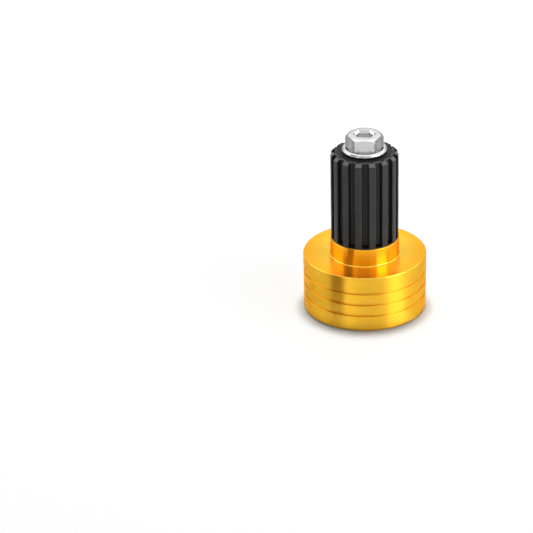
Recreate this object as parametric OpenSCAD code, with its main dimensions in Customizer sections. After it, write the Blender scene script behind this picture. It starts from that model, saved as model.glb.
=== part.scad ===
// Bar end weight for a motorbike handlebar.
// A turned weight carries a ribbed rubber sleeve, which a flange bolt clamps against its neck.
// It stands on its outer face: the origin is the middle of that face, and +Z runs along its axis.

/* [Handlebar] */
// Bore of the handlebar tube that takes the neck and the sleeve
bar_bore_d = 18; // [16.5:0.1:20]
// Gap round the neck in that bore
neck_gap = 0.05; // [0.05:0.01:0.2]
// Gap round the slack sleeve in that bore
sleeve_gap = 0.25; // [0.1:0.05:0.5]

/* [Weight] */
// Outer diameter of the weight
weight_d = 32; // [28:0.5:40]
// Height of the weight, from its outer face to its shoulder
weight_h = 15.3; // [14:0.1:30]
// Bevel round the rim of the shoulder
shoulder_bevel = 0.3; // [0.1:0.05:1]
// Radius of the edge round the outer face
face_edge_r = 0.5; // [0.2:0.1:1.5]

/* [Turned lines] */
// Number of lines turned into the weight's side, spread evenly about its middle
line_count = 3; // [1:1:3]
// Distance between the middles of two lines
line_pitch = 3.15; // [2:0.05:3.5]
// Width of a line between its two walls
line_w = 0.75; // [0.5:0.05:1.1]
// Depth of a line
line_depth = 0.5; // [0.35:0.05:0.7]
// Radius of the two corners at the floor of a line
line_corner_r = 0.15; // [0.05:0.05:0.2]
// Bevel of the two edges of a line
line_bevel = 0.12; // [0.05:0.01:0.15]

/* [Neck] */
// Height of the neck above the shoulder
neck_h = 4.5; // [3:0.1:8]
// Radius of the fillet at the foot of the neck
neck_fillet_r = 0.45; // [0.2:0.05:0.8]
// Bevel round the top of the neck
neck_bevel = 0.15; // [0.05:0.05:0.3]
// Depth of the hole below the tip of the bolt, down to the drill's point
hole_run_out = 1.5; // [1:0.5:2]

/* [Sleeve] */
// Length of the rubber sleeve
sleeve_l = 23.8; // [16:0.1:40]
// Number of grooves round the sleeve, with a rib between each two
groove_count = 15; // [9:1:18]
// Width of a groove
groove_w = 1.85; // [1.2:0.05:2]
// Depth of a groove below the ribs
groove_depth = 1.35; // [0.8:0.05:1.6]
// Radius of the two corners at the floor of a groove
groove_corner_r = 0.55; // [0.2:0.05:0.6]
// Turn of the first groove from the front flat of the bolt head, in degrees
groove_turn = 1.4; // [0:0.1:12]
// Width of the chamfer at the bolt end of the ribs
rib_chamfer_w = 0.8; // [0.3:0.1:1.2]
// Height of that chamfer
rib_chamfer_h = 0.7; // [0.3:0.1:1.2]
// Thickness of the thin collar that closes the grooves at the neck
collar_t = 0.2; // [0.15:0.05:0.5]
// Height of the deeper pocket at the neck end of a groove
pocket_h = 0.4; // [0.2:0.1:1]
// Depth of that pocket below the floor of the groove
pocket_depth = 0.7; // [0.3:0.1:1]
// Gap round the bolt in the sleeve
sleeve_bolt_gap = 0.25; // [0.1:0.05:0.4]

/* [Bolt] */
// Nominal diameter of the bolt
bolt_d = 6; // [5:0.5:6.5]
// Gap round the bolt in the weight's hole
thread_gap = 0.05; // [0.02:0.01:0.1]
// Length of the bolt inside the weight
thread_reach = 12; // [8:0.5:12]
// Chamfer at the tip of the bolt
tip_chamfer = 0.7; // [0.3:0.1:1]
// Outer diameter of the flange under the head
flange_d = 11.75; // [11.5:0.05:13]
// Thickness of the round bead at the edge of the flange
bead_t = 1.45; // [1.3:0.05:1.5]
// Thickness of the flange in the dip inside the bead
dip_t = 1.2; // [1:0.05:1.25]
// Thickness of the flange at the flats of the hexagon
flange_root_t = 1.64; // [1.5:0.02:1.8]
// Distance across the flats of the head
hex_af = 8.5; // [8:0.1:8.8]
// Height of the head, from the seat of the flange to its top
head_h = 4.85; // [4.5:0.05:6]
// Diameter of the flat on top of the head
crown_flat_d = 7; // [6.6:0.1:7.4]
// Radius of the round that runs from that flat down over the head's corners
crown_r = 1.75; // [1.65:0.05:2]

/* [Key socket] */
// Distance across the flats of the hexagon socket
socket_af = 4; // [3:0.5:4.5]
// Depth of the socket below the top of the head
socket_depth = 3; // [2:0.1:3.2]
// Width of the bevel that leads into the socket, at each flat
socket_lead_w = 0.55; // [0.2:0.05:0.6]
// Depth of that bevel
socket_lead_h = 0.7; // [0.3:0.05:1]

/* [Hidden] */
$fn = 96;

// How far a cutting shape runs past the face that it opens
cut_past = 1;
// Half the angle at the tip of a drill
drill_half_angle = 59;
// Corners of a hexagon, and half the angle between two of them
hex_sides = 6;
hex_half_angle = 180 / hex_sides;
hex_angle = 2 * hex_half_angle;

weight_r = weight_d / 2;
neck_r = bar_bore_d / 2 - neck_gap;
neck_top_z = weight_h + neck_h;
hole_r = bolt_d / 2 + thread_gap;
hole_depth = thread_reach + hole_run_out;

lowest_line_z = weight_h / 2 - (line_count - 1) * line_pitch / 2;

sleeve_r = bar_bore_d / 2 - sleeve_gap;
sleeve_hole_r = bolt_d / 2 + sleeve_bolt_gap;
groove_floor_r = sleeve_r - groove_depth;
pocket_floor_r = groove_floor_r - pocket_depth;
groove_angle = 360 / groove_count;
// The front flat of the bolt head faces -Y
front_angle = -90;

seat_z = neck_top_z + sleeve_l;
bolt_r = bolt_d / 2;
bolt_l = sleeve_l + thread_reach;
flange_r = flange_d / 2;
hex_corner_r = hex_af / 2 / cos(hex_half_angle);
socket_corner_r = socket_af / 2 / cos(hex_half_angle);

// Half section of the barrel: a round edge at the outer face, a bevel at the shoulder
module barrel_section() {
    square([weight_r - face_edge_r, weight_h - shoulder_bevel]);
    translate([0, face_edge_r]) square([weight_r, weight_h - face_edge_r - shoulder_bevel]);
    translate([weight_r - face_edge_r, face_edge_r]) circle(r = face_edge_r);
    polygon([
        [0, weight_h - shoulder_bevel],
        [weight_r, weight_h - shoulder_bevel],
        [weight_r - shoulder_bevel, weight_h],
        [0, weight_h]
    ]);
}

// Half section of the neck, with the fillet that joins it to the shoulder
module neck_section() {
    polygon([
        [0, weight_h - cut_past],
        [neck_r, weight_h - cut_past],
        [neck_r, neck_top_z - neck_bevel],
        [neck_r - neck_bevel, neck_top_z],
        [0, neck_top_z]
    ]);
    difference() {
        translate([neck_r - cut_past, weight_h - cut_past])
            square([cut_past + neck_fillet_r, cut_past + neck_fillet_r]);
        translate([neck_r + neck_fillet_r, weight_h + neck_fillet_r]) circle(r = neck_fillet_r);
    }
}

// Half section of one line: straight walls, round corners at the floor and bevelled edges
module line_section() {
    floor_r = weight_r - line_depth;
    corner_r = floor_r + line_corner_r;
    corner_z = line_w / 2 - line_corner_r;
    mouth_half_w = line_w / 2 + line_bevel;
    translate([corner_r, -line_w / 2]) square([weight_r - corner_r, line_w]);
    translate([floor_r, -corner_z]) square([line_depth, 2 * corner_z]);
    for (side = [-1, 1])
        translate([corner_r, side * corner_z]) circle(r = line_corner_r);
    polygon([
        [weight_r - line_bevel, -line_w / 2],
        [weight_r, -mouth_half_w],
        [weight_r + cut_past, -mouth_half_w],
        [weight_r + cut_past, mouth_half_w],
        [weight_r, mouth_half_w],
        [weight_r - line_bevel, line_w / 2]
    ]);
}

// Half section of all the lines turned into the side
module lines_section() {
    for (i = [0 : line_count - 1])
        translate([0, lowest_line_z + i * line_pitch]) line_section();
}

// Blind hole for the bolt, open at the top of the neck, with the drill's point at its foot
module weight_hole() {
    point_h = hole_r / tan(drill_half_angle);
    translate([0, 0, neck_top_z - hole_depth]) cylinder(r = hole_r, h = hole_depth + cut_past);
    translate([0, 0, neck_top_z - hole_depth - point_h]) cylinder(r1 = 0, r2 = hole_r, h = point_h);
}

// Barrel and neck, turned from one bar
module end_weight() {
    color("goldenrod")
    difference() {
        rotate_extrude() {
            difference() {
                union() {
                    barrel_section();
                    neck_section();
                }
                lines_section();
            }
        }
        weight_hole();
    }
}

// Half section of the sleeve before its grooves are cut
module sleeve_section() {
    polygon([
        [sleeve_hole_r, 0],
        [sleeve_r, 0],
        [sleeve_r, sleeve_l - rib_chamfer_h],
        [sleeve_r - rib_chamfer_w, sleeve_l],
        [sleeve_hole_r, sleeve_l]
    ]);
}

// Cross section of a groove, pointing outwards along +X, with round corners at its floor
module groove_section() {
    corner_y = groove_w / 2 - groove_corner_r;
    corner_x = groove_floor_r + groove_corner_r;
    translate([groove_floor_r, -corner_y]) square([groove_depth + cut_past, 2 * corner_y]);
    translate([corner_x, -groove_w / 2])
        square([groove_depth - groove_corner_r + cut_past, groove_w]);
    for (side = [-1, 1])
        translate([corner_x, side * corner_y]) circle(r = groove_corner_r);
}

// Groove from the collar out through the bolt end, with the pocket at its foot
module groove() {
    translate([0, 0, collar_t])
        linear_extrude(height = sleeve_l - collar_t + cut_past) groove_section();
    translate([pocket_floor_r, -groove_w / 2, collar_t])
        cube([pocket_depth + groove_depth + cut_past, groove_w, pocket_h]);
}

// Rubber sleeve, moulded in one piece
module ribbed_sleeve() {
    color("dimgray")
    translate([0, 0, neck_top_z])
    difference() {
        rotate_extrude() sleeve_section();
        for (i = [0 : groove_count - 1])
            rotate([0, 0, front_angle + groove_turn + i * groove_angle]) groove();
    }
}

// Half section of the flange: a round bead outside, a dip, and a rise towards the hexagon
module flange_section() {
    bead_r = bead_t / 2;
    bead_centre_r = flange_r - bead_r;
    dip_r = bead_centre_r - sqrt(bead_r * bead_r - pow(dip_t - bead_r, 2));
    translate([bead_centre_r, bead_r]) circle(r = bead_r);
    polygon([
        [0, 0],
        [bead_centre_r, 0],
        [bead_centre_r, dip_t],
        [dip_r, dip_t],
        [hex_af / 2, flange_root_t],
        [0, flange_root_t]
    ]);
}

// Hexagon with a round crown that takes its corners down
module hex_head() {
    crown_flat_r = crown_flat_d / 2;
    crown_foot_h = head_h - crown_r;
    intersection() {
        cylinder(r = hex_corner_r, h = head_h, $fn = hex_sides);
        rotate_extrude() {
            square([crown_flat_r, head_h]);
            square([crown_flat_r + crown_r, crown_foot_h]);
            translate([crown_flat_r, crown_foot_h]) circle(r = crown_r);
        }
    }
}

// Wedge across one pair of the socket's flats, which widens by the lead-in towards the top
module socket_wedge() {
    inner_half_w = socket_af / 2;
    slope = socket_lead_w / socket_lead_h;
    outer_half_w = inner_half_w + slope * (socket_lead_h + cut_past);
    rotate([90, 0, 90])
        linear_extrude(height = hex_af, center = true)
            polygon([
                [-inner_half_w, head_h - socket_lead_h],
                [inner_half_w, head_h - socket_lead_h],
                [outer_half_w, head_h + cut_past],
                [-outer_half_w, head_h + cut_past]
            ]);
}

// Hexagon socket with a bevelled mouth and a drilled point at its foot
module key_socket() {
    point_r = socket_af / 2;
    point_h = point_r / tan(drill_half_angle);
    intersection() {
        socket_wedge();
        rotate([0, 0, hex_angle]) socket_wedge();
        rotate([0, 0, 2 * hex_angle]) socket_wedge();
    }
    translate([0, 0, head_h - socket_depth + point_h])
        cylinder(r = socket_corner_r, h = socket_depth - point_h - socket_lead_h, $fn = hex_sides);
    translate([0, 0, head_h - socket_depth]) cylinder(r1 = 0, r2 = point_r, h = point_h);
}

// Shank of the bolt, which hangs down from the seat of the flange
module shank() {
    translate([0, 0, tip_chamfer - bolt_l]) cylinder(r = bolt_r, h = bolt_l - tip_chamfer + dip_t);
    translate([0, 0, -bolt_l]) cylinder(r1 = bolt_r - tip_chamfer, r2 = bolt_r, h = tip_chamfer);
}

// Flange bolt that clamps the sleeve against the neck
module flange_bolt() {
    color("silver")
    translate([0, 0, seat_z])
    difference() {
        union() {
            shank();
            rotate_extrude() flange_section();
            hex_head();
        }
        key_socket();
    }
}

end_weight();
ribbed_sleeve();
flange_bolt();
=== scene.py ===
import math

import bmesh
import bpy
from mathutils import Matrix, Vector


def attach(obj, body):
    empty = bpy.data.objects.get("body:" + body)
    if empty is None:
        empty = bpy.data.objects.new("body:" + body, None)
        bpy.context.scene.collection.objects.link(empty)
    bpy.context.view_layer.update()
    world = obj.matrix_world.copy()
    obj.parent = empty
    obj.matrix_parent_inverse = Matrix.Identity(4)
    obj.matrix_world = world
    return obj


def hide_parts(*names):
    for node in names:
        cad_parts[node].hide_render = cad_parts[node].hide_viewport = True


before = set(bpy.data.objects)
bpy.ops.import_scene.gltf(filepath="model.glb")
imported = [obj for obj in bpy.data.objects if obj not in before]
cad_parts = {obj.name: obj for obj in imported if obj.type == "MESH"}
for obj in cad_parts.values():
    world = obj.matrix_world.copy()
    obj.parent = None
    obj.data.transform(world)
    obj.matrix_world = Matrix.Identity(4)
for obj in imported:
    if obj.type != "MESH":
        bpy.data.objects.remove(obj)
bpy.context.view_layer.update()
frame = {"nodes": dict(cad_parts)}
print("frame loaded:", ", ".join(frame["nodes"]))

millimetre = 0.001
fullTurn = 2 * math.pi
bodyName = "root"
mergeDistance = 0.002 * millimetre
shortestEdge = 0.001 * millimetre
levelNormal = 0.9999  # a face whose normal points up or down by this much is level


# small helpers for meshes

def polar(radius, angle):
    return radius * math.cos(angle), radius * math.sin(angle)


def arcPoints(centre, radius, startDegrees, endDegrees, pieces):
    points = []
    for i in range(pieces + 1):
        x, y = polar(radius, math.radians(startDegrees + (endDegrees - startDegrees) * i / pieces))
        points.append((centre[0] + x, centre[1] + y))
    return points


def addLoop(bm, points, closed):
    verts = [bm.verts.new(Vector(p) * millimetre) for p in points]
    edges = [bm.edges.new(pair) for pair in zip(verts, verts[1:])]
    if closed:
        edges.append(bm.edges.new((verts[-1], verts[0])))
    return verts, edges


def extrudeLoop(bm, verts, edges, points):  # carries a closed loop on to the next ring of points
    made = bmesh.ops.extrude_edge_only(bm, edges=edges)["geom"]
    newEdges = [g for g in made if isinstance(g, bmesh.types.BMEdge)]
    newVerts = {g for g in made if isinstance(g, bmesh.types.BMVert)}
    nextOf = {}
    for old in verts:
        for edge in old.link_edges:
            other = edge.other_vert(old)
            if other in newVerts:
                nextOf[old] = other
    ring = [nextOf[old] for old in verts]
    for vert, point in zip(ring, points):
        vert.co = Vector(point) * millimetre
    ringSet = set(ring)
    ringEdges = [e for e in newEdges if e.verts[0] in ringSet and e.verts[1] in ringSet]
    return ring, ringEdges


def mergeAndOrient(bm):
    bmesh.ops.remove_doubles(bm, verts=bm.verts, dist=mergeDistance)
    bmesh.ops.dissolve_degenerate(bm, edges=bm.edges, dist=shortestEdge)
    bmesh.ops.recalc_face_normals(bm, faces=bm.faces)


def edgesOver(bm, degrees, wanted):
    limit = math.radians(degrees)
    return [e for e in bm.edges if len(e.link_faces) == 2 and e.calc_face_angle(0) > limit and wanted(e)]


def roundEdges(bm, edges, width, segments):
    bmesh.ops.bevel(bm, geom=edges, offset=width * millimetre, offset_type="OFFSET", segments=segments,
                    profile=0.5, affect="EDGES", material=-1, clamp_overlap=True)


def addObject(name, data):
    thing = bpy.data.objects.new(name, data)
    bpy.context.scene.collection.objects.link(thing)
    return thing


def addMesh(bm, name, material):
    mesh = bpy.data.meshes.new(name)
    bm.to_mesh(mesh)
    bm.free()
    mesh.materials.append(material)
    return addObject(name, mesh)


def makePiece(bm, name, material, node, sharpDegrees):
    for face in bm.faces:
        face.smooth = abs(face.normal.z) < levelNormal
    for edge in bm.edges:
        smoothSides = {face.smooth for face in edge.link_faces}
        edge.smooth = len(smoothSides) == 1 and edge.calc_face_angle(0) < math.radians(sharpDegrees)
    piece = addMesh(bm, name, material)
    evenNormals = piece.modifiers.new("evenNormals", "WEIGHTED_NORMAL")  # faces stay flat beside round edges
    evenNormals.keep_sharp = True
    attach(piece, bodyName)
    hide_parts(node)
    print(name, "made,", len(piece.data.polygons), "faces")


# small helpers for materials

def newMaterial(name):
    material = bpy.data.materials.new(name)
    material.use_nodes = True
    tree = material.node_tree
    return material, tree, tree.nodes["Principled BSDF"]


def addNode(tree, kind, **settings):
    node = tree.nodes.new(kind)
    for key, value in settings.items():
        setattr(node, key, value)
    return node


def setSocket(tree, socket, value):  # value is another node's output, a number or a colour
    if isinstance(value, bpy.types.NodeSocket):
        tree.links.new(value, socket)
    else:
        socket.default_value = value


def setInputs(tree, node, values):
    for name, value in values.items():
        setSocket(tree, node.inputs[name], value)


def mathNode(tree, operation, first, second=0.0, clamp=False):
    node = addNode(tree, "ShaderNodeMath", operation=operation, use_clamp=clamp)
    for socket, value in zip(node.inputs, (first, second)):
        setSocket(tree, socket, value)
    return node.outputs[0]


def product(tree, first, *others):
    for other in others:
        first = mathNode(tree, "MULTIPLY", first, other)
    return first


def largest(tree, first, *others):
    for other in others:
        first = mathNode(tree, "MAXIMUM", first, other)
    return first


def vectorNode(tree, operation, *values):
    node = addNode(tree, "ShaderNodeVectorMath", operation=operation)
    for socket, value in zip(node.inputs, values):
        setSocket(tree, socket, value)
    return node


def noiseNode(tree, vector, spots):  # spots per millimetre, detail and roughness
    node = addNode(tree, "ShaderNodeTexNoise")
    for name, value in zip(("Scale", "Detail", "Roughness"), spots):
        node.inputs[name].default_value = value
    tree.links.new(vector, node.inputs["Vector"])
    return node.outputs["Fac"]


def rangeNode(tree, value, fromLow, fromHigh, toLow, toHigh):
    node = addNode(tree, "ShaderNodeMapRange")
    for name, number in zip(("From Min", "From Max", "To Min", "To Max"), (fromLow, fromHigh, toLow, toHigh)):
        node.inputs[name].default_value = number
    tree.links.new(value, node.inputs["Value"])
    return node.outputs["Result"]


def rise(tree, value, place, fade):  # from 0 to 1 between the fade's two distances from a place
    return rangeNode(tree, value, place + fade[0], place + fade[1], 0, 1)


def fall(tree, value, place, fade):  # from 1 to 0
    return rangeNode(tree, value, place + fade[0], place + fade[1], 1, 0)


def between(tree, value, low, high, soft):
    return product(tree, rise(tree, value, low, (-soft, 0)), fall(tree, value, high, (0, soft)))


def mixNode(tree, factor, low, high, kind="RGBA"):  # low and high are sockets, colours or numbers
    node = addNode(tree, "ShaderNodeMix", data_type=kind)
    tree.links.new(factor, node.inputs["Factor"])
    for name, value in (("A", low), ("B", high)):
        socket = [i for i in node.inputs if i.name == name and i.enabled][0]
        if kind == "RGBA" and not isinstance(value, bpy.types.NodeSocket):
            value = (*value, 1)
        setSocket(tree, socket, value)
    return [o for o in node.outputs if o.enabled][0]


def bumpNode(tree, height, strength, depth):
    node = addNode(tree, "ShaderNodeBump")
    setInputs(tree, node, {"Height": height, "Strength": strength, "Distance": depth * millimetre})
    return node.outputs["Normal"]


def splitPlace(tree, vector):
    split = addNode(tree, "ShaderNodeSeparateXYZ")
    tree.links.new(vector, split.inputs[0])
    return list(split.outputs)


def placeOn(tree):  # a point of the object, its parts and its distance from the axis, in millimetres
    coords = addNode(tree, "ShaderNodeTexCoord")
    scaled = addNode(tree, "ShaderNodeMapping")
    scaled.inputs["Scale"].default_value = [1 / millimetre] * 3
    tree.links.new(coords.outputs["Object"], scaled.inputs["Vector"])
    point = scaled.outputs[0]
    x, y, height = splitPlace(tree, point)
    squares = [mathNode(tree, "POWER", part, 2) for part in (x, y)]
    radius = mathNode(tree, "SQRT", mathNode(tree, "ADD", *squares))
    return {"point": point, "x": x, "y": y, "height": height, "radius": radius}


# camera first, in millimetres and degrees, as fitted to the photograph's outlines
cameraView = {
    "lens": 165.1,
    "sensor": 36.0,
    "near": 10.0,
    "far": 20000.0,
    "back": 570.0,
    "height": 300.65,
    "turnRight": -2.582,
    "lookDown": 26.94,
    "roll": -1.324,
}


def makeCamera():
    data = bpy.data.cameras.new("camera")
    data.lens = cameraView["lens"]
    data.sensor_width = cameraView["sensor"]
    data.clip_start = cameraView["near"] * millimetre
    data.clip_end = cameraView["far"] * millimetre
    camera = addObject("camera", data)
    place = Matrix.Translation(Vector((0, -cameraView["back"], cameraView["height"])) * millimetre)
    turn = Matrix.Rotation(-math.radians(cameraView["turnRight"]), 4, "Z")
    tilt = Matrix.Rotation(math.radians(90 - cameraView["lookDown"]), 4, "X")
    roll = Matrix.Rotation(math.radians(cameraView["roll"]), 4, "Z")
    camera.matrix_world = place @ turn @ tilt @ roll
    bpy.context.scene.camera = camera
    print("camera placed")


makeCamera()


# gold anodised weight, turned from one bar

weightLook = {
    "gold": (0.94, 0.53, 0.028),
    "deepGold": (0.88, 0.47, 0.012),
    "shoulderSheenGold": (0.90, 0.565, 0.072),  # painted sheen: the top flat is made paler than the sides
    # painted reflection: the neck is made deeper orange, like gold mirrored in gold
    "neckReflectionGold": (0.93, 0.44, 0.014),
    "shoulderLevel": 14.96,
    "neckLevel": 15.04,
    "neckFade": (0, 0.3),
    "sideRoughness": (0.31, 0.39),
    "shoulderRoughness": (0.19, 0.25),
    "stretch": 0.93,  # how much further light spreads across the turning marks than along them
    "edgeTint": (1.0, 0.62, 0.22, 1),
    "oxide": 0.25,
    "oxideIor": 1.7,
    "oxideRoughness": 0.4,
    "turningMarks": (5.0, 4, 0.7),  # marks per millimetre, detail and roughness
    "broadMarks": (0.625, 2, 0.5),
    "marksDrift": 0.025,  # how little they change from side to side
    "markShades": (0.3, 0.7),
    "markStrength": 0.35,
    "markDepth": 0.004,
}


def acrossMarks(tree, point):  # the direction across the turning marks
    normal = addNode(tree, "ShaderNodeNewGeometry").outputs["Normal"]
    around = vectorNode(tree, "CROSS_PRODUCT", (0, 0, 1), point)
    across = vectorNode(tree, "CROSS_PRODUCT", normal, around.outputs["Vector"])
    return vectorNode(tree, "NORMALIZE", across.outputs["Vector"]).outputs["Vector"]


def makeGold():
    look = weightLook
    material, tree, shader = newMaterial("goldAnodised")
    place = placeOn(tree)
    turned = addNode(tree, "ShaderNodeCombineXYZ")  # almost the same all round, as a lathe leaves it
    drift = mathNode(tree, "MULTIPLY", place["x"], look["marksDrift"])
    setInputs(tree, turned, {"X": place["radius"], "Y": place["height"], "Z": drift})
    marks = noiseNode(tree, turned.outputs[0], look["turningMarks"])
    broad = noiseNode(tree, turned.outputs[0], look["broadMarks"])

    onShoulder = mathNode(tree, "GREATER_THAN", place["height"], look["shoulderLevel"])
    onNeck = rise(tree, place["height"], look["neckLevel"], look["neckFade"])
    roughness = mixNode(tree, onShoulder, rangeNode(tree, marks, *look["markShades"], *look["sideRoughness"]),
                        rangeNode(tree, marks, *look["markShades"], *look["shoulderRoughness"]), "FLOAT")
    filmAndShade = mixNode(tree, broad, look["deepGold"], look["gold"])
    # painted sheen on the shoulder and painted reflection on the neck
    filmAndShade = mixNode(tree, onShoulder, filmAndShade, look["shoulderSheenGold"])
    filmAndShade = mixNode(tree, onNeck, filmAndShade, look["neckReflectionGold"])
    setInputs(tree, shader, {
        "Base Color": filmAndShade,
        "Metallic": 1,
        "Roughness": roughness,
        "Normal": bumpNode(tree, marks, look["markStrength"], look["markDepth"]),
        "Tangent": acrossMarks(tree, place["point"]),
        "Anisotropic": look["stretch"],
        "Specular Tint": look["edgeTint"],
        "Coat Weight": look["oxide"],
        "Coat IOR": look["oxideIor"],
        "Coat Roughness": look["oxideRoughness"],
    })
    return material


weightShape = {
    "barrelRadius": 16.0,
    "barrelHeight": 15.3,
    "faceEdge": 0.5,
    "rimEdge": 0.3,
    "lineCount": 3,
    "linePitch": 3.15,
    "lineWidth": 0.75,
    "lineDepth": 0.5,
    "lineCorner": 0.15,
    "lineEdge": 0.12,
    "neckRadius": 8.95,
    "neckHeight": 4.5,
    "neckFillet": 0.32,
    "shoulderDip": 0.33,  # the shoulder is turned a little hollow, so that the tube seats on its outer edge
    "neckEdge": 0.15,
    "holeRadius": 3.05,
    "holeDepth": 13.5,
    "drillDegrees": 59,
    "spinSteps": 256,
    "roundPieces": 8,  # in the outer face's edge and in the neck's fillet
    "rimPieces": 6,
    "linePieces": 5,
    "neckEdgePieces": 4,
    "sharpDegrees": 32,
}


def lineOutline(z):  # one turned line, upwards: edge, wall, floor, wall, edge
    s = weightShape
    edge, corner, pieces = s["lineEdge"], s["lineCorner"], s["linePieces"]
    side, floor = s["barrelRadius"] - edge, s["barrelRadius"] - s["lineDepth"] + corner
    half = s["lineWidth"] / 2
    return (arcPoints((side, z - half - edge), edge, 0, 90, pieces)
            + arcPoints((floor, z - half + corner), corner, 270, 180, pieces)
            + arcPoints((floor, z + half - corner), corner, 180, 90, pieces)
            + arcPoints((side, z + half + edge), edge, 270, 360, pieces))


def makeWeight(material):
    s = weightShape
    radius, height, neck = s["barrelRadius"], s["barrelHeight"], s["neckRadius"]
    face, rim, fillet, neckEdge = s["faceEdge"], s["rimEdge"], s["neckFillet"], s["neckEdge"]
    top = height + s["neckHeight"]
    outline = [(0, 0), (radius / 2, 0)]
    outline += arcPoints((radius - face, face), face, -90, 0, s["roundPieces"])
    for i in range(s["lineCount"]):
        outline += lineOutline(height / 2 + (i - (s["lineCount"] - 1) / 2) * s["linePitch"])
    outline += arcPoints((radius - rim, height - rim), rim, 0, 90, s["rimPieces"])
    filletFoot = height - s["shoulderDip"]
    outline += arcPoints((neck + fillet, filletFoot + fillet), fillet, 270, 180, s["roundPieces"])
    outline += arcPoints((neck - neckEdge, top - neckEdge), neckEdge, 0, 90, s["neckEdgePieces"])
    holeFoot = top - s["holeDepth"]
    point = s["holeRadius"] / math.tan(math.radians(s["drillDegrees"]))
    outline += [(s["holeRadius"], top), (s["holeRadius"], holeFoot), (0, holeFoot - point)]
    bm = bmesh.new()
    verts, edges = addLoop(bm, [(r, 0, z) for r, z in outline], closed=False)
    bmesh.ops.spin(bm, geom=verts + edges, cent=(0, 0, 0), axis=(0, 0, 1), angle=fullTurn,
                   steps=s["spinSteps"], use_merge=True)
    mergeAndOrient(bm)
    makePiece(bm, "turnedWeight", material, "end_weight", s["sharpDegrees"])


# black rubber sleeve, moulded with fifteen grooves

sleeveShape = {
    "foot": 19.8,
    "length": 23.8,
    "radius": 8.75,
    "holeRadius": 3.25,
    "grooveCount": 15,
    "grooveWidth": 1.85,
    "grooveDepth": 1.35,
    "cornerRadius": 0.55,
    "ribEdge": 0.18,
    "grooveTurn": 1.4,
    "chamferWidth": 0.8,
    "chamferHeight": 0.7,
    "collar": 0.2,
    "pocketHeight": 0.4,
    "pocketDepth": 0.7,
    "endEdge": 0.22,
    "endDegrees": (0, 30, 60, 90),  # steps of the round edge at the bolt end
    "endDraw": 0.25,  # how far the ribs draw in there, as a share of how much the grooves widen
    "endLand": 0.3,  # a level ring inside the grooves' ends
    "wallBreak": 0.8,  # a point on the groove's wall, this far below the ribs
    "cornerPieces": 6,
    "edgePieces": 4,
    "ribPieces": 5,
    "sharpDegrees": 32,
}
wallFrom = 2 + sleeveShape["cornerPieces"]  # of grooveSide's points, the first on the wall
ribFrom = wallFrom + 2 + sleeveShape["edgePieces"]  # and the first on the rib


# fades run between two distances, in millimetres, from the face that they follow
rubberLook = {
    # painted shade: near black where the grey is left off
    "rubber": (0.002, 0.002, 0.002),
    "rubberGrey": (0.036, 0.036, 0.035),  # the rubber's grey, on the ribs and on the grooves' floors; the near black left on the grooves' walls and corners, the pockets and the end face is painted shade
    "paleRubberGrey": (0.048, 0.048, 0.047),
    "endSheen": (0.13, 0.13, 0.127),  # painted highlight: the paler chamfers and round edge at the bolt end
    # painted highlight along the ribs' rounded edges
    "ribEdgeGlint": (0.075, 0.075, 0.073),
    "roughness": (0.32, 0.44),
    "grooveRoughness": 0.7,
    "shine": 0.36,
    "grain": (3.5, 3, 0.6),
    "grainStrength": 0.4,
    "grainDepth": 0.006,
    "cloud": (0.35, 3, 0.5),
    "cloudShades": (0.3, 0.7),
    "ribFade": (-0.35, -0.1),
    "ribEdgeFade": (-0.03, -0.005),
    "floorFade": (0.06, 0.2),
    "floorCornerFade": (-0.08, -0.04),
    "floorGreyShare": 0.85,
    "chamferFade": (-0.1, -0.03),
    "chamferFootFade": (-0.03, 0.03),
    "endFaceFade": (-0.02, -0.001),
    "sheenPatches": (0.25, 0.6, 0.6, 1),  # from where to where in the grain, and how strong the painted highlight there
}


def makeRubber():
    look, shape = rubberLook, sleeveShape
    material, tree, shader = newMaterial("blackRubber")
    place = placeOn(tree)
    radius, height = place["radius"], place["height"]
    grain = noiseNode(tree, place["point"], look["grain"])
    cloud = noiseNode(tree, place["point"], look["cloud"])

    outer, floor = shape["radius"], shape["radius"] - shape["grooveDepth"]
    top = shape["foot"] + shape["length"]
    chamferFoot = top - shape["chamferHeight"]
    aboveFoot = mathNode(tree, "SUBTRACT", height, chamferFoot)
    slope = shape["chamferWidth"] / shape["chamferHeight"]
    beforeChamfer = mathNode(tree, "ADD", radius, mathNode(tree, "MULTIPLY", aboveFoot, slope))
    onChamfer = product(tree, rise(tree, beforeChamfer, outer, look["chamferFade"]),
                        rise(tree, height, chamferFoot, look["chamferFootFade"]))
    onEdge = rise(tree, height, top, (-shape["endEdge"], -shape["endEdge"] / 2))
    # painted highlight on the upward chamfers and the round end edge, in patches
    endSheen = product(tree, largest(tree, onChamfer, onEdge), fall(tree, height, top, look["endFaceFade"]),
                   rangeNode(tree, grain, *look["sheenPatches"]))

    ribs = rise(tree, radius, outer, look["ribFade"])
    ribEdges = product(tree, fall(tree, radius, outer, look["ribEdgeFade"]), ribs)
    floors = product(tree, fall(tree, radius, floor, look["floorFade"]),
                     rise(tree, radius, floor, look["floorCornerFade"]), look["floorGreyShare"])
    # painted shade: the grooves' walls and corners, the pockets and the end face stay near black
    rubberGrey = mixNode(tree, cloud, look["rubberGrey"], look["paleRubberGrey"])
    colour = mixNode(tree, largest(tree, ribs, floors), look["rubber"], rubberGrey)
    # painted highlight: the ribs' rounded edges made paler
    colour = mixNode(tree, ribEdges, colour, look["ribEdgeGlint"])
    smooth = rangeNode(tree, cloud, *look["cloudShades"], *look["roughness"])
    setInputs(tree, shader, {
        "Base Color": mixNode(tree, endSheen, colour, look["endSheen"]),
        "Roughness": mixNode(tree, largest(tree, ribs, endSheen), look["grooveRoughness"], smooth, "FLOAT"),
        "Normal": bumpNode(tree, grain, look["grainStrength"], look["grainDepth"]),
        "Specular IOR Level": look["shine"],
    })
    return material


def turnPoint(u, v, angle):
    return u * math.cos(angle) - v * math.sin(angle), u * math.sin(angle) + v * math.cos(angle)


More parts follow.
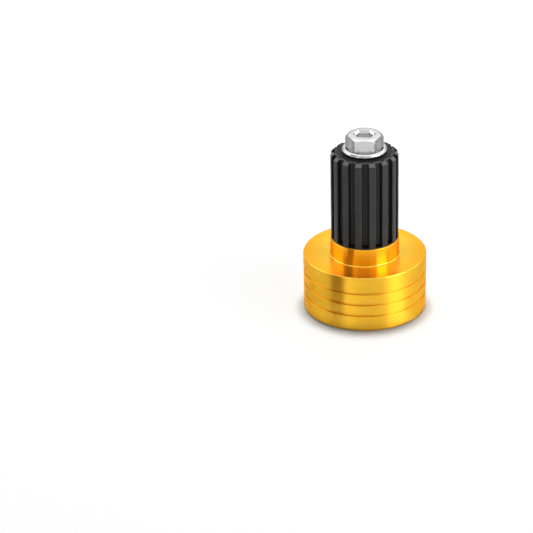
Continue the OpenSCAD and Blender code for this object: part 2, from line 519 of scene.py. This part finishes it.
def grooveSide(grow):  # right half of one groove, from the middle of its floor to the middle of the rib
    s = sleeveShape
    half, floor = s["grooveWidth"] / 2 + grow, s["radius"] - s["grooveDepth"] - grow
    corner, edge = s["cornerRadius"] + grow, s["ribEdge"]
    points = [(floor, 0), (floor, (half - corner) / 2)]
    points += arcPoints((floor + corner, half - corner), corner, 180, 90, s["cornerPieces"])
    points.append((s["radius"] - s["wallBreak"], half))
    edgeCentre = math.sqrt((s["radius"] - edge) ** 2 - (half + edge) ** 2)
    edgeEnd = 360 + math.degrees(math.atan2(half + edge, edgeCentre))
    points += arcPoints((edgeCentre, half + edge), edge, 270, edgeEnd, s["edgePieces"])
    ribStart = math.atan2(points[-1][1], points[-1][0])
    ribMiddle = math.pi / s["grooveCount"]
    for i in range(1, s["ribPieces"] + 1):
        points.append(polar(s["radius"], ribStart + (ribMiddle - ribStart) * i / s["ribPieces"]))
    return points


def sleeveSection(grow=0):  # the whole outline, with each groove made larger all round by grow
    s = sleeveShape
    right = grooveSide(grow)
    left = [(u, -v) for u, v in reversed(right[1:])]
    middle = len(left) - 1
    pitch = left[1:] + right  # the two rib middles coincide with the next pitch's
    section = []
    for k in range(s["grooveCount"]):
        turn = math.radians(-90 + s["grooveTurn"]) + fullTurn * k / s["grooveCount"]
        for i, (u, v) in enumerate(pitch):
            x, y = turnPoint(u, v, turn)
            section.append({"x": x, "y": y, "u": u, "v": v, "turn": turn, "side": 1 if i >= middle else -1,
                            "fromMiddle": abs(i - middle), "inGroove": abs(i - middle) < ribFrom,
                            "ribFoot": right[ribFrom][1]})
    return section


def makeSleeve(material):
    s = sleeveShape
    section = sleeveSection()
    foot, top = s["foot"], s["foot"] + s["length"]
    mouthAngle = math.asin((s["grooveWidth"] / 2 + s["ribEdge"]) / s["radius"])

    def spread(p):  # the groove's points spread evenly along the rib circle
        if not p["inGroove"]:
            return math.atan2(p["y"], p["x"])
        return p["turn"] + p["side"] * mouthAngle * p["fromMiddle"] / ribFrom

    def circle(radius, z):
        return [(*polar(radius, spread(p)), z) for p in section]

    def clipped(points, limit, z):
        ring = []
        for p in points:
            if math.hypot(p["x"], p["y"]) <= limit:
                ring.append((p["x"], p["y"], z))
            elif p["inGroove"]:  # keeps the groove's wall flat
                u = math.sqrt(limit ** 2 - p["v"] ** 2)
                ring.append((*turnPoint(u, p["v"], p["turn"]), z))
            else:  # keeps the rib between the walls of its two grooves
                ribMiddle = math.pi / s["grooveCount"]
                ribStart, cutStart = math.asin(p["ribFoot"] / s["radius"]), math.asin(p["ribFoot"] / limit)
                part = (abs(math.atan2(p["v"], p["u"])) - ribStart) / (ribMiddle - ribStart)
                angle = p["turn"] + p["side"] * (cutStart + (ribMiddle - cutStart) * part)
                ring.append((*polar(limit, angle), z))
        return ring

    def pocket(z):
        floor = s["radius"] - s["grooveDepth"] - s["pocketDepth"]
        half = s["grooveWidth"] / 2
        ring = []
        for p in section:
            if p["fromMiddle"] >= wallFrom:
                ring.append((p["x"], p["y"], z))
                continue
            v = half * p["side"] * p["fromMiddle"] / (wallFrom - 1)
            ring.append((*turnPoint(floor, v, p["turn"]), z))
        return ring

    collarTop = foot + s["collar"]
    pocketTop = collarTop + s["pocketHeight"]
    rings = [
        circle(s["holeRadius"], foot),
        circle(s["radius"], foot),
        circle(s["radius"], collarTop),
        pocket(collarTop),
        pocket(pocketTop),
        clipped(section, math.inf, pocketTop),
        clipped(section, math.inf, top - s["chamferHeight"]),
    ]
    for degrees in s["endDegrees"]:
        angle = math.radians(degrees)
        grow = s["endEdge"] * (1 - math.cos(angle))
        z = top - s["endEdge"] * (1 - math.sin(angle))
        chamfered = s["radius"] - s["chamferWidth"] * (1 - (top - z) / s["chamferHeight"])
        rings.append(clipped(sleeveSection(grow), chamfered - grow * s["endDraw"], z))
    land = s["radius"] - s["grooveDepth"] - s["endEdge"] - s["endLand"]
    rings.append([(x * land / math.hypot(x, y), y * land / math.hypot(x, y), z) for x, y, z in rings[-1]])
    rings.append(circle(s["holeRadius"], top))
    bm = bmesh.new()
    first, firstEdges = addLoop(bm, rings[0], closed=True)
    verts, edges = first, firstEdges
    for ring in rings[1:]:
        verts, edges = extrudeLoop(bm, verts, edges, ring)
    bmesh.ops.bridge_loops(bm, edges=edges + firstEdges)
    mergeAndOrient(bm)
    makePiece(bm, "ribbedSleeve", material, "ribbed_sleeve", s["sharpDegrees"])


# bright zinc flange bolt

# places and fades in millimetres, heights from the foot of the whole object
zincLook = {
    "zinc": (0.65, 0.65, 0.65),
    "shade": (0.55, 0.55, 0.555),
    "edgeTint": (0.12, 0.12, 0.12, 1),
    "roughness": (0.15, 0.28),
    "cloud": (0.8, 4, 0.6),
    "cloudShades": (0.3, 0.7),
    "grit": (6, 3, 0.6),
    "gritStrength": 0.25,
    "gritDepth": 0.004,
    "wallShade": (0.6, 0.6, 0.605),  # painted shade on the key socket's back and front walls
    "socketLight": (0.95, 0.95, 0.95),  # painted light: the socket's other walls made brighter than the zinc outside
    "paintedShade": (0.06, 0.06, 0.06),  # painted shade in the dip round the hexagon, along the socket lead's sides and in the mouth's side corners
    "shadePatches": (0.2, 0.45, 0.75, 1),  # from where to where in the grit, and how dark the painted shade there
    "shadeRoughness": 0.5,
    "socketRadius": 2.4,
    "socketFade": (-0.1, 0),
    "socketTop": 47.75,
    "socketTopFade": (-0.2, 0),
    "wallHalfWidth": 1.1,  # the socket's back and front walls, which get painted shade
    "wallFade": (0, 0.06),
    "creaseFoot": 44.70,  # the dip round the hexagon
    "creaseTop": 44.93,
    "creaseSoft": 0.05,
    "creaseRadius": 4.80,
    "creaseFade": (0, 0.03),
    "creaseShade": 0.8,
    "leadFoot": 47.66,  # where the socket's lead ends
    "leadTop": 47.80,
    "leadSoft": 0.05,
    "leadRadius": 2.5,
    "leadFade": (0, 0.1),
    "leadSideFade": (-0.1, 0.05),
    "leadShade": 0.85,
    "cornerRadius": 2.80,  # painted shade in the two side corners of the socket's mouth
    "cornerWidth": 0.44,
    "cornerHalfLength": 1.0,
    "cornerFade": (0.6, 1),  # shares of the patch's size
    "cornerFoot": 47.85,
    "cornerTop": 48.43,
    "cornerSoft": 0.015,
}


def makeZinc():
    look = zincLook
    material, tree, shader = newMaterial("brightZinc")
    place = placeOn(tree)
    radius, height = place["radius"], place["height"]
    cloud = noiseNode(tree, place["point"], look["cloud"])
    grit = noiseNode(tree, place["point"], look["grit"])
    offSide = mathNode(tree, "ABSOLUTE", place["x"])
    offMiddle = mathNode(tree, "ABSOLUTE", place["y"])

    socket = product(tree, fall(tree, radius, look["socketRadius"], look["socketFade"]),
                     fall(tree, height, look["socketTop"], look["socketTopFade"]))
    # painted shade on the socket's back and front walls
    filmAndShade = product(tree, socket, fall(tree, offSide, look["wallHalfWidth"], look["wallFade"]))
    crease = product(tree, between(tree, height, look["creaseFoot"], look["creaseTop"], look["creaseSoft"]),
                     fall(tree, radius, look["creaseRadius"], look["creaseFade"]), look["creaseShade"])
    lead = product(tree, between(tree, height, look["leadFoot"], look["leadTop"], look["leadSoft"]),
                   fall(tree, radius, look["leadRadius"], look["leadFade"]),
                   rise(tree, offSide, look["wallHalfWidth"], look["leadSideFade"]), look["leadShade"])

    across = mathNode(tree, "SUBTRACT", offSide, look["cornerRadius"])
    across = mathNode(tree, "DIVIDE", across, look["cornerWidth"])
    along = mathNode(tree, "DIVIDE", offMiddle, look["cornerHalfLength"])
    away = mathNode(tree, "ADD", *[mathNode(tree, "POWER", part, 2) for part in (across, along)])
    corners = product(tree, fall(tree, away, 0, look["cornerFade"]),
                      between(tree, height, look["cornerFoot"], look["cornerTop"], look["cornerSoft"]))
    # painted shade in the crease, along the lead's sides and in the mouth's corners, in patches
    paintedShade = product(tree, largest(tree, crease, lead, corners),
                      rangeNode(tree, grit, *look["shadePatches"]))

    # painted light: the key socket's walls made brighter than the zinc outside
    colour = mixNode(tree, socket, mixNode(tree, cloud, look["shade"], look["zinc"]), look["socketLight"])
    colour = mixNode(tree, filmAndShade, colour, look["wallShade"])
    clean = rangeNode(tree, cloud, *look["cloudShades"], *look["roughness"])
    setInputs(tree, shader, {
        "Base Color": mixNode(tree, paintedShade, colour, look["paintedShade"]),
        "Metallic": 1,
        "Roughness": mixNode(tree, largest(tree, filmAndShade, paintedShade), clean, look["shadeRoughness"], "FLOAT"),
        "Normal": bumpNode(tree, grit, look["gritStrength"], look["gritDepth"]),
        "Specular Tint": look["edgeTint"],
    })
    return material


boltShape = {
    "seat": 43.6,
    "shankRadius": 3.0,
    "shankLength": 35.8,
    "tipChamfer": 0.7,
    "flangeRadius": 5.875,
    "bead": 1.45,
    "beadDegrees": (-90, 100),  # where the bead's round starts and ends
    "beadPieces": 24,
    "dip": 1.2,
    "root": 1.64,
    "rootStep": 0.03,  # clear space round the hexagon's corners
    "hexFlats": 8.5,
    "headHeight": 4.85,
    "crownFlat": 3.5,
    "crownRound": 1.75,
    "socketFlats": 4.0,
    "socketDepth": 3.0,
    "leadWidth": 0.55,
    "leadDepth": 0.7,
    "drillDegrees": 59,
    "drillTip": 0.05,
    "sidePoints": 20,
    "crownRings": 8,
    "edge": 0.1,
    "edgePieces": 2,
    "edgeDegrees": 20,  # edges that turn more than this are rounded
    "edgesFrom": 0.05,  # where the rounding starts, above the hexagon's root
    "sharpDegrees": 40,
}


def makeBolt(material):
    s = boltShape
    seat, height = s["seat"], s["headHeight"]
    count = 6 * s["sidePoints"]
    angles = [fullTurn * i / count for i in range(count)]
    sixth = fullTurn / 6

    def hexRadius(flats, angle):
        return flats / 2 / math.cos(angle % sixth - sixth / 2)

    def rounded(radius, z):
        return [(*polar(radius, a), seat + z) for a in angles]

    def hexagon(flats, heightAt, limit=math.inf):
        radii = [min(limit, hexRadius(flats, a)) for a in angles]
        return [(*polar(r, a), seat + heightAt(r)) for r, a in zip(radii, angles)]

    beadRadius = s["bead"] / 2
    beadCentre = s["flangeRadius"] - beadRadius
    half = s["hexFlats"] / 2
    dipRadius = beadCentre - math.sqrt(beadRadius ** 2 - (s["dip"] - beadRadius) ** 2)
    crownFlat, crownRound = s["crownFlat"], s["crownRound"]
    socketMouth = s["socketFlats"] + 2 * s["leadWidth"]
    pointHeight = s["socketFlats"] / 2 / math.tan(math.radians(s["drillDegrees"]))

    def flangeTop(r):
        if r < dipRadius:
            return s["dip"] + (s["root"] - s["dip"]) * (dipRadius - r) / (dipRadius - half)
        return beadRadius + math.sqrt(beadRadius ** 2 - (r - beadCentre) ** 2)

    def crown(r):
        return height - crownRound + math.sqrt(crownRound ** 2 - max(0, r - crownFlat) ** 2)

    def crease():  # the dip's inner edge, which steps out round the corners of the hexagon
        radii = [max(dipRadius, hexRadius(s["hexFlats"], a) + s["rootStep"]) for a in angles]
        return [(*polar(r, a), seat + flangeTop(r)) for r, a in zip(radii, angles)]

    rings = [
        rounded(s["shankRadius"] - s["tipChamfer"], -s["shankLength"]),
        rounded(s["shankRadius"], s["tipChamfer"] - s["shankLength"]),
        rounded(s["shankRadius"], 0),
    ]
    bead = arcPoints((beadCentre, beadRadius), beadRadius, *s["beadDegrees"], s["beadPieces"])
    rings += [rounded(r, z) for r, z in bead]
    rings += [
        crease(),
        hexagon(s["hexFlats"], flangeTop),
        hexagon(s["hexFlats"], crown),
    ]
    corner = half / math.cos(sixth / 2)
    for i in range(1, s["crownRings"] + 1):
        limit = corner + (crownFlat - corner) * i / s["crownRings"]
        rings.append(hexagon(s["hexFlats"], crown, limit))
    rings += [
        hexagon(socketMouth, lambda r: height),
        hexagon(s["socketFlats"], lambda r: height - s["leadDepth"]),
        hexagon(s["socketFlats"], lambda r: height - s["socketDepth"] + pointHeight),
        rounded(s["drillTip"], height - s["socketDepth"]),
    ]
    bm = bmesh.new()
    verts, edges = addLoop(bm, rings[0], closed=True)
    bmesh.ops.edgeloop_fill(bm, edges=edges)
    for ring in rings[1:]:
        verts, edges = extrudeLoop(bm, verts, edges, ring)
    bmesh.ops.edgeloop_fill(bm, edges=edges)
    mergeAndOrient(bm)
    headFoot = (seat + s["root"] + s["edgesFrom"]) * millimetre
    crisp = edgesOver(bm, s["edgeDegrees"], lambda e: max(v.co.z for v in e.verts) > headFoot)
    roundEdges(bm, crisp, s["edge"], s["edgePieces"])
    makePiece(bm, "flangeBolt", material, "flange_bolt", s["sharpDegrees"])


makeWeight(makeGold())
makeSleeve(makeRubber())
makeBolt(makeZinc())


# floor, background and lamps, in metres

studio = {
    "floorSize": 3.0,
    "floorShade": (0.80, 0.80, 0.80),
    "floorSeen": (1.0, 1.0, 1.0),  # what the camera and reflections see, so that the ground is white
    "floorRoughness": 0.7,
    "floorGlow": 0.03,
    "farGlow": 0.90,  # evens out the ground that the lamps reach less
    "glowFrom": 0.03,
    "glowTo": 0.85,
    "ambient": 0.14,
    "cardSpill": 0.35,  # how much of the cards' light metal throws on to the floor
    "cardFade": (0.3, 0.5),  # shares of a fading card's size
    "aimHeight": 0.03,  # the height that overhead lamps and cards point at
}

lamps = {  # degrees to the right of the camera, distance, height, width, length and brightness
    "keyLamp": {"turn": 60, "distance": 0.55, "height": 0.27, "width": 0.38, "length": 0.52, "glow": 1.2},
    "topLamp": {"turn": 180, "distance": 0.075, "height": 0.54, "width": 0.16, "length": 0.16, "glow": 30},
}

# painted reflections: sheets that only reflections see, standing for the lamps, for brighter and darker
# patches of floor and for the dark corners of the room
# along lays a card flat on the floor, turned by so many degrees, and a flat or a soft card fades at its edges
cards = {
    "keyCard": {"turn": 60, "distance": 0.50, "height": 0.25, "width": 0.34, "length": 0.48, "shade": 4.4},
    "topCard": {"turn": 180, "distance": 0.11, "height": 0.50, "width": 0.60, "length": 0.62, "shade": 1.7},
    "leftCard": {"turn": -105, "distance": 0.45, "height": 0.31, "width": 0.40, "length": 0.18,
                 "shade": 2.8},
    "rightCard": {"turn": 112, "distance": 0.45, "height": 0.31, "width": 0.40, "length": 0.18,
                  "shade": 2.8},
    "frontCard": {"turn": -2, "distance": 0.50, "height": 0.14, "width": 0.38, "length": 0.28, "shade": 0.5},
    "neckCard": {"turn": -55, "distance": 0.30, "height": 0.175, "width": 0.155, "length": 0.25,
                 "shade": 0.15},
    "crownCard": {"turn": 180, "distance": 0.07, "height": 0.080, "width": 0.072, "length": 0.048,
                  "shade": 1.9, "soft": True},
    # its orange tint paints the brown of gold mirrored in gold
    "sideCard": {"turn": -39.7, "distance": 0.035, "height": 0.0075, "width": 0.0125, "length": 0.015,
                 "shade": 0.2, "tint": (1.0, 0.2, 0.0)},
    "lowCard": {"turn": -46, "distance": 0.0315, "height": 0.0015, "width": 0.0118, "length": 0.003,
                "shade": 0.1},
    "sheenFlat": {"turn": 47.9, "distance": 0.0308, "height": 0.0002, "width": 0.014, "length": 0.028,
                  "shade": 1.55, "along": 64},
    "fillFlat": {"turn": -17.8, "distance": 0.0315, "height": 0.0002, "width": 0.013, "length": 0.026,
                 "shade": 1.35, "along": -24.7},
    "leftFlat": {"turn": -75.5, "distance": 0.0290, "height": 0.0002, "width": 0.021, "length": 0.031,
                 "shade": 0.55, "along": 0},
    "leftFarFlat": {"turn": -120, "distance": 0.095, "height": 0.0002, "width": 0.09, "length": 0.09,
                    "shade": 0.6, "along": 0},
    "rightFarFlat": {"turn": 120, "distance": 0.095, "height": 0.0002, "width": 0.09, "length": 0.09,
                     "shade": 0.6, "along": 0},
}


def placeFacing(thing, spec):  # flat, or upright at the sides, or tilted down to the object overhead
    turn = math.radians(spec["turn"])
    place = Vector((math.sin(turn) * spec["distance"], -math.cos(turn) * spec["distance"], spec["height"]))
    if "along" in spec:
        rotation = Matrix.Rotation(math.radians(spec["along"]), 4, "Z")
    else:
        overhead = spec["height"] > spec["distance"]
        lookAt = Vector((0, 0, studio["aimHeight"] if overhead else spec["height"]))
        rotation = (lookAt - place).to_track_quat("-Z", "Y").to_matrix().to_4x4()
    thing.matrix_world = Matrix.Translation(place) @ rotation


def seenDirectly(tree):  # 1 for the camera and for what it sees in reflections, 0 for light on matt surfaces
    path = addNode(tree, "ShaderNodeLightPath")
    rays = [path.outputs[name] for name in ("Is Camera Ray", "Is Glossy Ray", "Is Transmission Ray")]
    return mathNode(tree, "SUBTRACT", largest(tree, *rays), path.outputs["Diffuse Depth"], clamp=True)


def addSheet(name, width, length, material):
    bm = bmesh.new()
    bmesh.ops.create_grid(bm, x_segments=1, y_segments=1, size=0.5)
    bmesh.ops.scale(bm, vec=(width, length, 1), verts=bm.verts)
    return addMesh(bm, name, material)


def makeFloor():
    material, tree, shader = newMaterial("paleFloor")
    seen = seenDirectly(tree)
    coords = addNode(tree, "ShaderNodeTexCoord")
    away = vectorNode(tree, "LENGTH", coords.outputs["Object"]).outputs["Value"]
    glow = rangeNode(tree, away, studio["glowFrom"], studio["glowTo"], studio["floorGlow"], studio["farGlow"])
    setInputs(tree, shader, {
        "Base Color": mixNode(tree, seen, studio["floorShade"], studio["floorSeen"]),
        "Roughness": studio["floorRoughness"],
        "Specular IOR Level": 0,
        "Emission Color": (1, 1, 1, 1),
        "Emission Strength": product(tree, glow, seen),
    })
    floor = addSheet("floor", studio["floorSize"], studio["floorSize"], material)


def makeWorld():
    world = bpy.data.worlds.new("studioWorld")
    bpy.context.scene.world = world
    world.use_nodes = True
    tree = world.node_tree
    tree.nodes.clear()
    background = addNode(tree, "ShaderNodeBackground")
    strength = rangeNode(tree, seenDirectly(tree), 0, 1, studio["ambient"], 1)
    setInputs(tree, background, {"Color": (1, 1, 1, 1), "Strength": strength})
    output = addNode(tree, "ShaderNodeOutputWorld")
    tree.links.new(background.outputs[0], output.inputs["Surface"])


def addLamp(name, spec):
    data = bpy.data.lights.new(name, "AREA")
    data.shape = "RECTANGLE"
    data.size, data.size_y = spec["width"], spec["length"]
    data.energy = spec["glow"] * math.pi * spec["width"] * spec["length"]
    lamp = addObject(name, data)
    placeFacing(lamp, spec)
    lamp.visible_camera = False
    lamp.visible_glossy = False


def addCard(name, spec):
    material, tree, shader = newMaterial(name)
    shade = spec["shade"]
    if "along" in spec or "soft" in spec:
        coords = addNode(tree, "ShaderNodeTexCoord")
        inside = []
        for part, size in zip(splitPlace(tree, coords.outputs["Object"]), (spec["width"], spec["length"])):
            fade = [size * share for share in studio["cardFade"]]
            inside.append(fall(tree, mathNode(tree, "ABSOLUTE", part), 0, fade))
        shade = rangeNode(tree, product(tree, *inside), 0, 1, 1, shade)
    spill = rangeNode(tree, seenDirectly(tree), 0, 1, studio["cardSpill"], 1)
    setInputs(tree, shader, {
        "Base Color": (0, 0, 0, 1),
        "Specular IOR Level": 0,
        "Emission Color": (*spec.get("tint", (1, 1, 1)), 1),
        "Emission Strength": product(tree, spill, shade),
    })
    card = addSheet(name, spec["width"], spec["length"], material)
    placeFacing(card, spec)
    card.visible_camera = False
    card.visible_diffuse = False
    card.visible_shadow = False


makeFloor()
makeWorld()
for lampName, lampSpec in lamps.items():
    addLamp(lampName, lampSpec)
for cardName, cardSpec in cards.items():
    addCard(cardName, cardSpec)
bpy.context.scene.view_settings.view_transform = "Standard"
print("studio lit")
